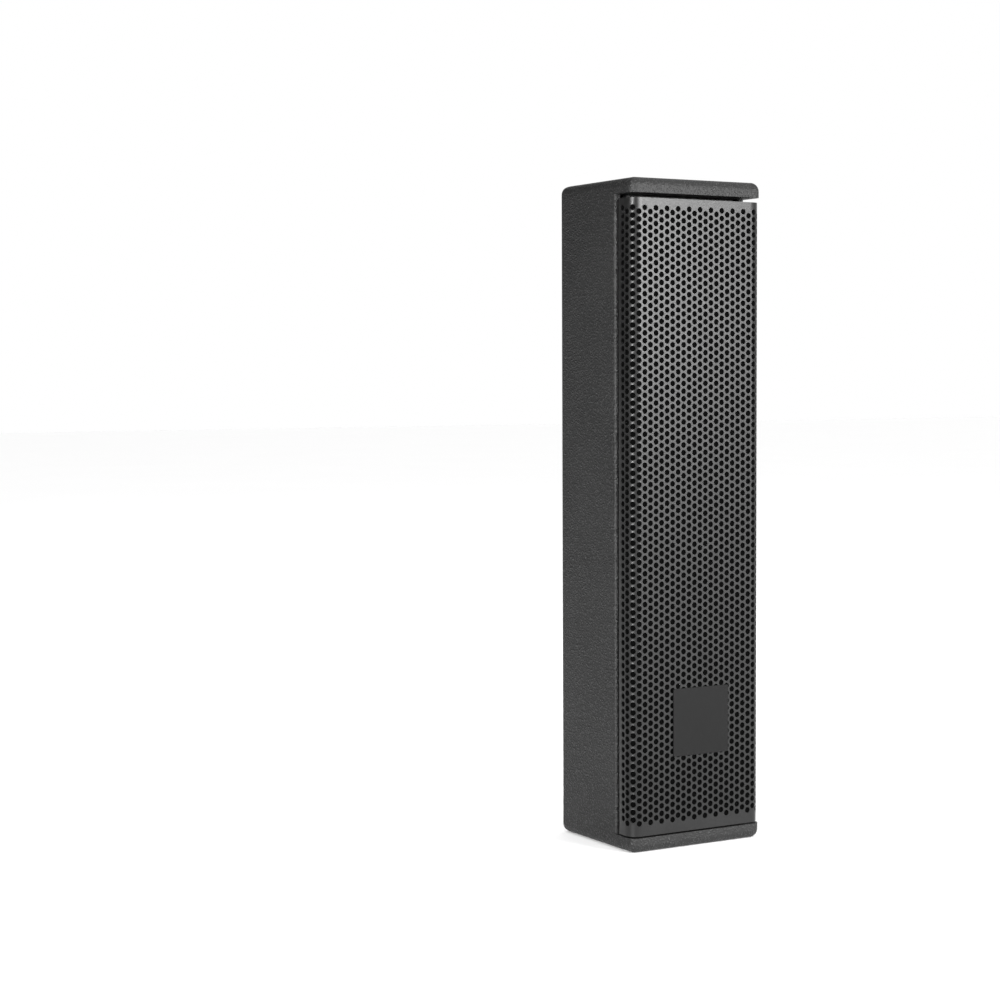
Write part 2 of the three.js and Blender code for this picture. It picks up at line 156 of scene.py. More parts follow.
def fillet(outline, radius, steps=4):
    """A closed outline with its corners rounded by one radius, or by one for each corner."""
    outline = [np.asarray(p, float) for p in outline]
    radii = radius if hasattr(radius, "__len__") else [radius] * len(outline)
    rounded = []
    for i, (corner, r) in enumerate(zip(outline, radii)):
        back, on = outline[i - 1] - corner, outline[(i + 1) % len(outline)] - corner
        room = 0.49 * min(np.linalg.norm(back), np.linalg.norm(on))
        back, on = back / np.linalg.norm(back), on / np.linalg.norm(on)
        half = math.acos(max(-1, min(1, float(back @ on)))) / 2
        if r <= 0 or half > math.radians(89):
            rounded.append(corner)
            continue
        trim = min(r / math.tan(half), room)
        r = trim * math.tan(half)
        centre = corner + (back + on) / np.linalg.norm(back + on) * (r / math.sin(half))
        first, last = corner + back * trim - centre, corner + on * trim - centre
        sweep = math.pi - 2 * half
        for step in range(steps + 1):
            t = step / steps
            spoke = (math.sin((1 - t) * sweep) * first + math.sin(t * sweep) * last) / math.sin(sweep)
            rounded.append(centre + spoke)
    return rounded


def smooth_line(points, steps=6):
    """A Catmull-Rom curve through the points of an open line."""
    points = [np.asarray(p, float) for p in points]
    padded = [2 * points[0] - points[1], *points, 2 * points[-1] - points[-2]]
    line = []
    for a, b, c, d in zip(padded, padded[1:], padded[2:], padded[3:]):
        for step in range(steps):
            t = step / steps
            line.append(0.5 * (2 * b + (c - a) * t + (2 * a - 5 * b + 4 * c - d) * t ** 2
                               + (3 * b - a - 3 * c + d) * t ** 3))
    return [*line, points[-1]]


def skin(front, thickness):
    """The closed outline of a sheet of this thickness behind an open line."""
    front = np.asarray(front, float)
    along = np.gradient(front, axis=0)
    along /= np.linalg.norm(along, axis=1)[:, None]
    normal = np.stack([along[:, 1], -along[:, 0]], 1)
    if normal[:, 1].mean() < 0:
        normal = -normal
    return [*front, *(front + normal * thickness)[::-1]]


def around(segments):
    """Equal angles round a whole turn."""
    return np.arange(segments) * 2 * math.pi / segments


def turned(radius, depth, angles, x=0, z=0):
    """A ring about the Y axis through x and z, its angles going from +Z towards +X."""
    depths = np.full(len(angles), depth)
    return np.stack([x + radius * np.sin(angles), depths, z + radius * np.cos(angles)], 1)


def lathe(name, outline, x=0, z=0, segments=96, degrees=32):
    """A closed [radius, depth] outline turned about the Y axis through x and z."""
    rings = [turned(radius, depth, around(segments), x, z) for radius, depth in np.asarray(outline, float)]
    return solid(name, *loft(rings, closed=True), degrees=degrees)


def prism(name, outline, z0, z1):
    """An [x, depth] outline drawn up from z0 to z1."""
    return solid(name, *loft([[(*point, z) for point in outline] for z in (z0, z1)]))


def tablet(name, outline, y0, y1, edge=0, rear_edge=0):
    """An [x, z] outline drawn back from depth y0 to y1, its front and rear edges rounded."""
    outline = np.asarray(outline, float)
    rings = []
    for inset, y in rounded_ends(y0, y1, edge, rear_edge):
        ring = shrink(outline, inset)
        rings.append(np.column_stack([ring[:, 0], np.full(len(ring), y), ring[:, 1]]))
    return solid(name, *loft(rings))


def rounded_ends(low, high, edge, far_edge, steps=4):
    """(inset, place) of the rings that round the two ends of a drawn outline."""
    turn = [math.radians(90 * step / steps) for step in range(steps + 1)]
    near = [(edge * (1 - math.sin(a)), low + edge * (1 - math.cos(a))) for a in turn] if edge else [(0, low)]
    far = ([(far_edge * (1 - math.cos(a)), high - far_edge * (1 - math.sin(a))) for a in turn]
           if far_edge else [(0, high)])
    return near + far


def shrink(outline, inset, least_mitre=0.4):
    """The outline moved in by a small distance along its corners."""
    if not inset:
        return outline

    def unit(vectors):
        return vectors / np.maximum(np.linalg.norm(vectors, axis=1), 1e-9)[:, None]

    ahead = unit(np.roll(outline, -1, 0) - outline)
    behind = unit(outline - np.roll(outline, 1, 0))
    (x, z), (next_x, next_z) = outline.T, np.roll(outline, -1, 0).T
    turn = 1 if np.sum(x * next_z - next_x * z) > 0 else -1
    normal = unit(np.stack([-(ahead + behind)[:, 1], (ahead + behind)[:, 0]], 1) * turn)
    mitre = np.abs(np.sum(normal * np.stack([-ahead[:, 1], ahead[:, 0]], 1), axis=1))
    return outline + normal * (inset / np.maximum(mitre, least_mitre))[:, None]


def rectangle(x, z):
    """The corners of a rectangle between two limits each way, anticlockwise."""
    return [(x[0], z[0]), (x[1], z[0]), (x[1], z[1]), (x[0], z[1])]


def combine(name, parts):
    """One object holding the meshes of several, which are removed."""
    work = bmesh.new()
    for part in parts:
        work.from_mesh(part.data)
    mesh = bpy.data.meshes.new(name)
    work.to_mesh(mesh)
    work.free()
    for part in parts:
        bpy.data.objects.remove(part)
    return link(name, mesh)


def carve(target, tool, degrees=32):
    """Cuts the tool out of the target, and removes the tool."""
    cutter = target.modifiers.new("carve", "BOOLEAN")
    cutter.operation, cutter.solver, cutter.object = "DIFFERENCE", "EXACT", tool
    bpy.context.view_layer.update()
    evaluated = target.evaluated_get(bpy.context.evaluated_depsgraph_get())
    mesh = bpy.data.meshes.new_from_object(evaluated)
    if not mesh.polygons:
        raise ValueError(f"nothing is left of {target.name}")
    target.modifiers.clear()
    target.data = mesh
    mesh.name = target.name
    shade(mesh, degrees)
    bpy.data.objects.remove(tool)
    return target


def copy_at(piece, name, place=(0, 0, 0), turn=0):
    """A copy of a piece, turned about the Y axis through the origin and then moved."""
    mesh = piece.data.copy()
    mesh.name = name
    mesh.transform(shift(*place) @ Matrix.Rotation(math.radians(turn), 4, "Y"))
    return link(name, mesh)


def shift(x=0, depth=0, z=0):
    """The move by these many millimetres."""
    return Matrix.Translation((x * MM, depth * MM, z * MM))


def bore(radius, y, x=0, z=0, segments=96, clearance=2):
    """A tool that drills a round hole through a board lying between two depths."""
    ends = (y[0] - clearance, y[1] + clearance)
    outline = [(0, ends[0]), (radius, ends[0]), (radius, ends[1]), (0, ends[1])]
    return lathe("bore", outline, x=x, z=z, segments=segments)


# ------------------------------------------------------------------------------ materials


WAVE_LENGTH = 0.314                # Blender's wave texture at scale 1 repeats after this length


def put(tree, socket, value):
    if isinstance(value, bpy.types.NodeSocket):
        tree.links.new(value, socket)
    else:
        socket.default_value = (*value, 1) if socket.type == "RGBA" else value


def add_node(tree, kind, inputs=None, **settings):
    """A node with these settings, and these values or links on its sockets."""
    made = tree.nodes.new(kind)
    for key, value in settings.items():
        setattr(made, key, value)
    for key, value in (inputs or {}).items():
        put(tree, made.inputs[key], value)
    return made


class Shader:
    """A small writer of node trees. Its methods return the socket that holds their result."""

    def __init__(self, name):
        self.material = bpy.data.materials.new(name)
        self.material.use_nodes = True
        self.tree = self.material.node_tree
        self.tree.nodes.clear()
        self.surface = self.node("ShaderNodeBsdfPrincipled")
        self.node("ShaderNodeOutputMaterial", {"Surface": self.surface.outputs[0]})
        self.place = self.node("ShaderNodeTexCoord").outputs["Object"]

    def node(self, kind, inputs=None, **settings):
        return add_node(self.tree, kind, inputs, **settings)

    def set(self, **values):
        """Sets the surface's own sockets, such as base_color or roughness."""
        for key, value in values.items():
            put(self.tree, self.surface.inputs[key.replace("_", " ").title().replace("Ior", "IOR")], value)

    def noise(self, cell, detail=2, roughness=0.5, place=None, distortion=0):
        """Noise whose blotches are about this many millimetres across."""
        return self.node("ShaderNodeTexNoise", {
            "Vector": place or self.place, "Scale": 1 / (cell * MM), "Detail": detail, "Roughness": roughness,
            "Distortion": distortion}).outputs["Fac"]

    def cells(self, cell, smooth):
        """Rounded cells about this many millimetres across: 0 at a cell's middle."""
        return self.node("ShaderNodeTexVoronoi", feature="SMOOTH_F1", inputs={
            "Vector": self.place, "Scale": 1 / (cell * MM), "Smoothness": smooth}).outputs["Distance"]

    def bands(self, axis, pitch):
        """Waves along an axis, repeating after this many millimetres."""
        return self.node("ShaderNodeTexWave", wave_type="BANDS", bands_direction=axis, inputs={
            "Vector": self.place, "Scale": WAVE_LENGTH / (pitch * MM)}).outputs["Fac"]

    def ramp(self, value, low, high, out_low=0.0, out_high=1.0):
        """value, spread from low..high to out_low..out_high and held there."""
        return self.node("ShaderNodeMapRange", interpolation_type="SMOOTHSTEP", inputs={
            "Value": value, "From Min": low, "From Max": high, "To Min": out_low, "To Max": out_high,
        }).outputs["Result"]

    def math(self, operation, a, b):
        return self.node("ShaderNodeMath", {0: a, 1: b}, operation=operation).outputs[0]

    def mix(self, share, a, b):
        """A colour between a and b."""
        return self.node("ShaderNodeMix", {0: share, 6: a, 7: b}, data_type="RGBA").outputs[2]

    def stretched(self, *scale):
        """The place, scaled along each axis, for grain and brushing."""
        return self.node("ShaderNodeMapping", {"Vector": self.place, "Scale": scale}).outputs[0]

    def bump(self, height, depth, strength=1.0):
        """Bumps this many millimetres deep where height goes from 0 to 1."""
        made = self.node("ShaderNodeBump", {"Height": height, "Distance": depth * MM, "Strength": strength})
        put(self.tree, self.surface.inputs["Normal"], made.outputs[0])


def grey(value):
    return (value, value, value)


def coat(name, grain, relief, shades, roughness, clouds=None, **constants):
    """A finish with a grain that gives it relief and changes its roughness.

    grain holds a Shader method and what it is given, relief the bumps' depth and strength, and shades
    the two colours. The colour follows the grain, or the clouds where their size, low and high are given.
    """
    s = Shader(name)
    pattern = grain[0](s, *grain[1:])
    if relief:
        s.bump(pattern, *relief)
    share = s.ramp(s.noise(clouds[0], 3), *clouds[1:]) if clouds else pattern
    if isinstance(roughness, tuple):
        roughness = s.ramp(pattern, 0.3, 0.7, *roughness)
    s.set(base_color=s.mix(share, *shades), roughness=roughness, **constants)
    return s.material


def textured_paint():
    """Thick black paint stippled into small rounded pebbles over plywood."""
    s = Shader("textured_paint")
    pebble = s.ramp(s.cells(1.6, 0.6), 0.12, 0.62, 1, 0)
    height = s.math("MULTIPLY", pebble, s.ramp(s.noise(2.8, 3), 0.3, 0.66, 0.3, 1))
    s.bump(s.math("ADD", height, s.math("MULTIPLY", s.noise(0.6, 2), 0.15)), 0.42)
    # The colour follows the pebbles' height: their tops are painted lighter and the hollows between them
    # darker, a painted highlight and painted shade, over a slow random change of tone in the hollows.
    shaded_hollows = s.mix(s.ramp(s.noise(60, 3), 0.35, 0.65), grey(0.004), grey(0.006))
    s.set(base_color=s.mix(height, shaded_hollows, grey(0.012)), roughness=s.ramp(height, 0, 1, 0.56, 0.28),
          specular_ior_level=0.36)
    return s.material


def acoustic_cloth():
    """Thin black cloth: threads one way over threads the other."""
    s = Shader("acoustic_cloth")
    weave = s.math("MULTIPLY", s.bands("X", 0.5), s.bands("Z", 0.5))
    s.bump(weave, 0.12)
    s.set(base_color=s.mix(weave, grey(0.0006), grey(0.0015)), roughness=0.95, specular_ior_level=0.05)
    return s.material


def badge_coat():
    """Smooth satin grey metal, finely brushed upwards."""
    s = Shader("badge_coat")
    brushed = s.noise(0.5, 3, place=s.stretched(1, 1, 0.05))
    s.bump(brushed, 0.008, 0.5)
    s.set(base_color=s.mix(brushed, grey(0.005), grey(0.008)), roughness=s.ramp(brushed, 0.3, 0.7, 0.7, 0.8),
          specular_ior_level=0.15)
    return s.material


def moulded_plastic(name, shade, roughness, grain=0.45):
    return coat(name, (Shader.noise, grain, 3), (0.03, 0.6), (grey(shade * 0.85), grey(shade * 1.1)),
                (roughness - 0.06, roughness + 0.08), (12, 0.3, 0.7), specular_ior_level=0.28)


def painted_steel(name, shade, roughness):
    return coat(name, (Shader.noise, 0.7, 2), (0.02, 0.6), (grey(shade * 0.9), grey(shade * 1.08)),
                (roughness - 0.05, roughness + 0.06), (18, 0.3, 0.7), metallic=0.1)


def cone_paper(name, shade, roughness):
    """Pressed paper: short fibres in every direction and a slightly cloudy colour."""
    s = Shader(name)
    fibre = s.noise(0.7, 4, 0.65, distortion=1.5)
    s.bump(fibre, 0.035, 0.7)
    cloudy = s.mix(s.ramp(s.noise(9, 3), 0.3, 0.7), grey(shade * 0.85), grey(shade * 1.1))
    s.set(base_color=s.mix(s.ramp(fibre, 0.45, 0.75), cloudy, grey(shade * 1.35)),
          roughness=s.ramp(fibre, 0.3, 0.7, roughness - 0.06, roughness + 0.08), specular_ior_level=0.22)
    return s.material


def polished(name, colour, roughness, scratch=0.004):
    return coat(name, (Shader.noise, 1.2, 4, 0.7), (scratch, 0.4), (tuple(c * 0.9 for c in colour), colour),
                (roughness * 0.8, roughness * 1.3), metallic=1.0)


def wire_in_painted_shade(name):
    """Wire wound in turns side by side about the Y axis. Its copper colour is darkened almost to black:
    painted shade for the dark inside of the cabinet, where the coils sit.
    """
    return coat(name, (Shader.bands, "Y", 0.8), (0.2,), ((0.012, 0.004, 0.0015), (0.06, 0.020, 0.007)), 0.35,
                metallic=0.9)


MATERIALS = {
    "textured_paint": textured_paint(),
    "grille_coat": coat("grille_coat", (Shader.noise, 0.9, 2), (0.03, 0.6), (grey(0.005), grey(0.007)),
                        (0.28, 0.36), (25, 0.35, 0.65), specular_ior_level=0.28),
    "acoustic_cloth": acoustic_cloth(),
    "badge_coat": badge_coat(),
    "frame_plastic": moulded_plastic("frame_plastic", 0.014, 0.60),
    "frame_steel": painted_steel("frame_steel", 0.020, 0.52),
    "surround_rubber": coat("surround_rubber", (Shader.noise, 0.4, 3), (0.015, 0.5),
                            (grey(0.006), grey(0.010)), (0.38, 0.50), specular_ior_level=0.4),
    "cone_paper": cone_paper("cone_paper", 0.013, 0.58),
    "cap_paper": cone_paper("cap_paper", 0.022, 0.36),
    "cap_metal": polished("cap_metal", (0.075, 0.075, 0.080), 0.05),
    "voice_coil_metal": wire_in_painted_shade("voice_coil_wire"),
    "spider_cloth": coat("spider_cloth", (Shader.cells, 0.5, 0.3), (0.08,),
                         ((0.30, 0.17, 0.05), (0.52, 0.33, 0.11)), 0.8),
    "motor_steel": polished("motor_steel", (0.30, 0.30, 0.31), 0.35, 0.01),
    "plate_steel": painted_steel("plate_steel", 0.016, 0.42),
    "socket_plastic": moulded_plastic("socket_plastic", 0.018, 0.38),
    "insert_zinc": polished("insert_zinc", (0.38, 0.38, 0.36), 0.36, 0.01),
    "board_laminate": coat("board_laminate", (Shader.cells, 0.9, 0.2), (0.01,),
                           ((0.012, 0.07, 0.03), (0.02, 0.11, 0.05)), 0.38),
    "coil_copper": wire_in_painted_shade("coil_copper"),
    "capacitor_film": coat("capacitor_film", (Shader.noise, 4, 3), None,
                           ((0.48, 0.33, 0.04), (0.62, 0.45, 0.08)), (0.18, 0.28)),
    "resistor_ceramic": coat("resistor_ceramic", (Shader.noise, 0.4, 3), (0.03,),
                             ((0.62, 0.60, 0.54), (0.78, 0.76, 0.70)), 0.85),
    "wadding_fibre": coat("wadding_fibre", (Shader.noise, 1.6, 5, 0.75, None, 2), (0.8,),
                          ((0.55, 0.55, 0.52), (0.85, 0.85, 0.82)), 1.0),
}
BLACK_ZINC = polished("screw_black", (0.034, 0.034, 0.036), 0.22, 0.006)
FERRITE = moulded_plastic("magnet_ferrite", 0.022, 0.6, 0.8)
# Matte near-black foam for the gasket under each frame; the same material darkens the ring in each surround's
# groove, where it is painted shade.
GASKET_AND_SHADE = moulded_plastic("gasket_foam", 0.008, 0.85, 0.8)
GLUE = moulded_plastic("glue_bead", 0.045, 0.46, 1.5)
RIM_METAL = polished("rim_metal", (0.13, 0.13, 0.135), 0.28)
TRIM_RING = polished("trim_ring", (0.20, 0.20, 0.20), 0.40)
# A light grey ring along the crest of each woofer's surround: a painted highlight, standing for the shine
# along the crest.
HIGHLIGHT_BEAD = moulded_plastic("surround_bead", 0.10, 0.46, 0.8)
SOLDER = polished("solder", (0.75, 0.75, 0.76), 0.22)
BRASS = polished("contact_brass", (0.72, 0.50, 0.20), 0.25)
LEAD_BRAID = moulded_plastic("lead_braid", 0.010, 0.6, 0.3)


def finish_piece(piece, slot, node=None, body="cabinet", material=None):
    """Gives a piece the given material or else its slot's material, attaches it to its body, and hides the
    CAD node that it stands for.
    """
    piece.data.materials.clear()
    piece.data.materials.append(material or MATERIALS[slot])
    if body:
        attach(piece, body)
    if node:
        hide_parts(node)


# -------------------------------------------------------------------------------- cabinet

EDGE_ROUND = 7.0
CORNER_ROUNDS = {"front": 6.5, "rear": 2.5}
LIP_WIDTH = 5.3
SIDE_ROUNDS = {"front": 4.0, "inner": 0.6, "rear": 2.5}
PORTS = {"radius": 9.5, "x": 39.5, "pitch": 49.8, "flare": 0.9}
PLATE_OVERLAP = 6                  # how far the input plate laps over the rear board's opening
INSERT_BORE = 5.7


def rounded_footprint(x, y, inset, steps=8):
    """A panel's outline in plan, moved in by inset, its corners' radii shrinking with it."""
    ring = []
    corners = ((x[1], y[1], 0), (x[0], y[1], 90), (x[0], y[0], 180), (x[1], y[0], 270))
    for corner_x, corner_y, start in corners:
        radius = max(CORNER_ROUNDS["rear" if corner_y > middle(y) else "front"] - inset, 0.4)
        centre_x = corner_x - math.copysign(inset + radius, corner_x - middle(x))
        centre_y = corner_y - math.copysign(inset + radius, corner_y - middle(y))
        for step in range(steps + 1):
            angle = math.radians(start + 90 * step / steps)
            ring.append((centre_x + radius * math.cos(angle), centre_y + radius * math.sin(angle)))
    return ring


def end_panel(name, node):
    """The top or bottom board, its outer edges rounded over all round."""
    x, y, z = node_box(node)
    upward = 1 if middle(z) > middle(node_box("baffle")[2]) else -1
    joint, outer = (z[0], z[1]) if upward > 0 else (z[1], z[0])
    levels = [(0, joint)]
    steps = 10
    for step in range(steps + 1):
        angle = math.radians(90 * step / steps)
        inset, drop = EDGE_ROUND * (1 - math.cos(angle)), EDGE_ROUND * (1 - math.sin(angle))
        levels.append((inset, outer - upward * drop))
    rings = [[(*point, level) for point in rounded_footprint(x, y, inset)] for inset, level in levels]
    panel = solid(name, *loft(rings))
    finish_piece(panel, "textured_paint", node)


def side_panel(name, node, side):
    """A side board, with a step down its inner front edge that leaves a thin lip."""
    x, y, z = node_box(node)
    outer, inner = (x[0], x[1]) if side < 0 else (x[1], x[0])
    lip = outer - side * LIP_WIDTH
    step_back = node_box("baffle")[1][1]
    outline = [(outer, y[0]), (outer, y[1]), (inner, y[1]), (inner, step_back), (lip, step_back), (lip, y[0])]
    radii = [SIDE_ROUNDS["front"], SIDE_ROUNDS["rear"], 0, 0, 0, SIDE_ROUNDS["inner"]]
    panel = prism(name, fillet(outline, radii, 6), *z)
    finish_piece(panel, "textured_paint", node)


def board(name, node, radius, steps, **edges):
    """A flat node's rectangle, with rounded corners and edges."""
    x, y, z = node_box(node)
    return tablet(name, fillet(rectangle(x, z), radius, steps), *y, **edges)


def baffle():
    y = node_box("baffle")[1]
    front = board("front_board", "baffle", 1.0, 3, edge=0.6)
    cutters = [bore(driver_style(number)["cutout"], y, z=driver_height(number)) for number in DRIVERS]
    flare, radius = PORTS["flare"], PORTS["radius"]
    hole = [(0, y[0] - 2), (radius + flare, y[0] - 2), (radius + flare, y[0] - 0.01),
            (radius + flare * 0.3, y[0] + flare * 0.3), (radius, y[0] + flare),
            (radius, y[1] + 2), (0, y[1] + 2)]
    for side, level in CORNERS:
        height = driver_height(MIDDLE_DRIVER) + level * PORTS["pitch"]
        cutters.append(lathe("port", hole, x=side * PORTS["x"], z=height, segments=48))
    carve(front, combine("holes", cutters))
    finish_piece(front, "textured_paint", "baffle")


def rear_panel():
    y = node_box("rear_panel")[1]
    rear = board("rear_board", "rear_panel", 1.0, 3, rear_edge=0.6)
    plate_x, _, plate_z = node_box("input_plate")
    opening = rectangle((plate_x[0] + PLATE_OVERLAP, plate_x[1] - PLATE_OVERLAP),
                        (plate_z[0] + PLATE_OVERLAP, plate_z[1] - PLATE_OVERLAP))
    cutters = [tablet("opening", fillet(opening, 3), y[0] - 2, y[1] + 2)]
    for node in ("wall_insert_upper", "wall_insert_lower"):
        cutters.append(bore(INSERT_BORE, y, z=middle(node_box(node)[2]), segments=48))
    carve(rear, combine("holes", cutters))
    finish_piece(rear, "textured_paint", "rear_panel")


# --------------------------------------------------------------------------------- grille

HOLE_PITCH = 6.0
HOLE_RADIUS = 2.3
HOLE_SIDES = 12
FRONT_COLUMNS = 22
RETURN_COLUMNS = 3                 # columns that carry on round each bend
ROWS = 80
FIRST_HOLE = 7.7                   # from the grille's top edge to the highest holes
SHEET = 1.2
GRILLE_RETURN = 19.0               # depth at which the grille's sides turn inward
TONGUE_GAP = 0.5                   # between a lip and the tongue that enters its groove
BENDS = {"front": 8.5, "flange": 1.4, "tongue": 0.6}
CLOTH = {"thickness": 0.5, "gap": 0.25, "past_bend": 8, "columns": 80, "rows": 60}


class SheetPath:
    """The outer line of half the grille's section: lengths along it turned into x and depth."""

    def __init__(self):
        (x0, x1), (front, back), _ = node_box("grille")
        self.start = np.array([0.0, front])
        half = (x1 - x0) / 2
        tongue = half - LIP_WIDTH - TONGUE_GAP
        returns = GRILLE_RETURN - front
        self.legs = [
            ("line", half - BENDS["front"], 0), ("arc", BENDS["front"], 1),
            ("line", returns - BENDS["front"] - BENDS["flange"], 0), ("arc", BENDS["flange"], 1),
            ("line", half - BENDS["flange"] - tongue - BENDS["tongue"], 0), ("arc", BENDS["tongue"], -1),
            ("line", back - GRILLE_RETURN - BENDS["tongue"], 0),
        ]

    @staticmethod
    def leg_length(kind, size):
        return size if kind == "line" else size * math.pi / 2

    def leg_ends(self):
        """The length along the path at which each leg ends."""
        return np.cumsum([self.leg_length(kind, size) for kind, size, _ in self.legs])

    def at(self, lengths, inward):
        """x and depth at lengths along the path, and inward into the sheet from its outer side."""
        side = np.where(lengths < 0, -1.0, 1.0)
        left = np.abs(lengths)
        place = np.zeros((len(left), 2))
        heading = np.zeros(len(left))
        corner, angle = self.start.copy(), 0.0
        for number, (kind, size, turn) in enumerate(self.legs):
            length = self.leg_length(kind, size)
            here = (left >= 0) & ((left <= length) | (number == len(self.legs) - 1))
            along = np.clip(left, 0, length)
            if kind == "line":
                direction = np.array([math.cos(angle), math.sin(angle)])
                reached = corner + along[:, None] * direction
                turned_to = np.full(len(left), angle)
                corner = corner + length * direction
            else:
                centre = corner + size * turn * np.array([-math.sin(angle), math.cos(angle)])
                turned_to = angle + turn * along / size
                reached = centre - size * turn * np.stack([-np.sin(turned_to), np.cos(turned_to)], 1)
                angle += turn * math.pi / 2
                corner = centre - size * turn * np.array([-math.sin(angle), math.cos(angle)])
            place[here] = reached[here]
            heading[here] = turned_to[here]
            left = np.where(here, -1.0, left - length)
        place -= np.stack([np.sin(heading), -np.cos(heading)], 1) * inward
        place[:, 0] *= side
        return place


def flat_perforated_sheet(path, z):
    """The unrolled sheet as [length, z] points and faces: hexagonal cells, each with a hole."""
    points, lookup, faces = [], {}, []

    def point(u, v):
        key = (round(u, 3), round(v, 3))
        if key not in lookup:
            lookup[key] = len(points)
            points.append((u, v))
        return lookup[key]

    def polygon(u, v, radius, sides):
        angles = [2 * math.pi * k / sides for k in range(sides)]
        return [point(u + radius * math.cos(a), v + radius * math.sin(a)) for a in angles]

    def strip(inner, outer):
        for (a, b), (c, d) in zip(zip(inner, inner[1:]), zip(outer, outer[1:])):
            faces.append((point(*a), point(*b), point(*d), point(*c)))

    column_pitch = HOLE_PITCH * math.sqrt(3) / 2
    cell = HOLE_PITCH / math.sqrt(3)
    columns = []
    for column in range(-RETURN_COLUMNS, FRONT_COLUMNS + RETURN_COLUMNS):
        u = (column - (FRONT_COLUMNS - 1) / 2) * column_pitch
        top = z[1] - FIRST_HOLE - (0 if column % 2 else HOLE_PITCH / 2)
        columns.append((u, top))
        for row in range(ROWS):
            v = top - row * HOLE_PITCH
            corners = polygon(u, v, cell, 6)
            ring = polygon(u, v, HOLE_RADIUS, HOLE_SIDES)
            for k in range(6):
                ahead = (k + 1) % 6
                faces.append((corners[k], corners[ahead], ring[2 * ahead], ring[2 * k + 1]))
                faces.append((corners[k], ring[2 * k + 1], ring[2 * k]))

    half_cell = cell / 2
    drop = (ROWS - 1) * HOLE_PITCH
    sides = [(u + side, top) for u, top in columns for side in (-half_cell, half_cell)]
    strip([(u, top + HOLE_PITCH / 2) for u, top in sides], [(u, z[1]) for u, _ in sides])
    strip([(u, top - drop - HOLE_PITCH / 2) for u, top in sides], [(u, z[0]) for u, _ in sides])

    ends = path.leg_ends()
    stops = [ends[2], *np.linspace(ends[2], ends[3], 5)[1:], ends[4],
             *np.linspace(ends[4], ends[5], 4)[1:], ends[6]]
    for (u, top), sign in ((columns[0], -1), (columns[-1], 1)):
        edge = [(u + sign * half_cell, z[1]), (u + sign * half_cell, top + HOLE_PITCH / 2)]
        for row in range(ROWS):
            v = top - row * HOLE_PITCH
            edge += [(u + sign * cell, v), (u + sign * half_cell, v - HOLE_PITCH / 2)]
        edge.append((u + sign * half_cell, z[0]))
        for stop in stops:
            line = [(sign * stop, v) for _, v in edge]
            strip(edge, line)
            edge = line
    return np.array(points), faces


def sheet_walls(faces, count):
    """The faces that close a doubled sheet round its open edges, its second side count points on."""
    uses = {}
    for face in faces:
        for a, b in zip(face, face[1:] + face[:1]):
            uses[(min(a, b), max(a, b))] = uses.get((min(a, b), max(a, b)), 0) + 1
    return [(a, b, b + count, a + count) for (a, b), times in uses.items() if times == 1]


def thick_sheet(name, sides, faces, degrees):
    """A sheet with these points on its two sides, the first joined by these faces."""
    count = len(sides[0])
    back = [tuple(v + count for v in reversed(face)) for face in faces]
    return solid(name, np.concatenate(sides), faces + back + sheet_walls(faces, count), degrees=degrees)


def perforated_grille():
    """The flat sheet given its thickness and bent round to the grille's section."""
    path = SheetPath()
    flat, faces = flat_perforated_sheet(path, node_box("grille")[2])
    sides = [np.column_stack([path.at(flat[:, 0], inward), flat[:, 1]]) for inward in (0, SHEET)]
    sheet = thick_sheet("perforated_grille", sides, faces, 40)
    finish_piece(sheet, "grille_coat", "grille", "grille_assembly")


def grille_cloth():
    """Black cloth stretched over the back of the perforations, round both bends."""
    z = node_box("grille_cloth")[2]
    path = SheetPath()
    reach = path.leg_ends()[1] + CLOTH["past_bend"]
    across = np.linspace(-reach, reach, CLOTH["columns"] + 1)
    front = SHEET + CLOTH["gap"]
    layers = [path.at(across, inward) for inward in (front, front + CLOTH["thickness"])]
    levels = np.linspace(z[0], z[1], CLOTH["rows"] + 1)
    sides = [[(*place, level) for level in levels for place in layer] for layer in layers]
    row = len(across)
    starts = [level * row + column for level in range(CLOTH["rows"]) for column in range(CLOTH["columns"])]
    cloth = thick_sheet("grille_cloth_sheet", sides, [(a, a + 1, a + row + 1, a + row) for a in starts], 80)
    finish_piece(cloth, "acoustic_cloth", "grille_cloth", "grille_assembly")


def badge():
    plate = board("blank_badge", "badge_plate", 1.2, 5, edge=0.35)
    finish_piece(plate, "badge_coat", "badge_plate", "grille_assembly")


# -------------------------------------------------------------------------------- drivers

WOOFER = {
    "label": "woofer", "frame": "frame_plastic", "dome": "cap_paper", "ring": GLUE, "lip": HIGHLIGHT_BEAD,
    "half": 44.75, "chamfer": 17.6, "corner": 8, "bevel": (2.4, 1.8), "ledge": 19.8, "mouth": 39.5,
    "throat": 35.0, "screw": 33.5, "notch": 4.8, "notch_depth": 20.7, "basket": 36.6, "cutout": 37.2,
    "roll": [(38.2, 19.3), (37.7, 19.25), (37.3, 18.5), (36.9, 17.9), (36.35, 17.65), (35.8, 17.95),
             (35.3, 18.9), (34.6, 19.6), (33.7, 19.7), (32.7, 19.9), (31.9, 20.7), (31.3, 21.5),
             (30.3, 21.8)],
    "flex": (19.7, 21.6),
    "cone": [(31.3, 22.15), (27.5, 23.5), (22.5, 25.7), (18.0, 28.3), (14.7, 30.5), (11.4, 32.6)],
    "cap": [(14.2, 30.55), (13.3, 30.3), (12.2, 29.2), (9.6, 27.8), (6.6, 26.9), (3.3, 26.45), (0, 26.35)],
    # The dark matte ring in the groove between the flange's mouth and the surround's outer lip is painted
    # shade, standing for the shadow in that groove.
    "glue": (14.5, 30.35, 1.4), "gasket": 20.9, "shade_ring": ((37.0, 39.4), (19.0, 19.5)),
    "bead": (36.35, 17.75, 0.55),
}
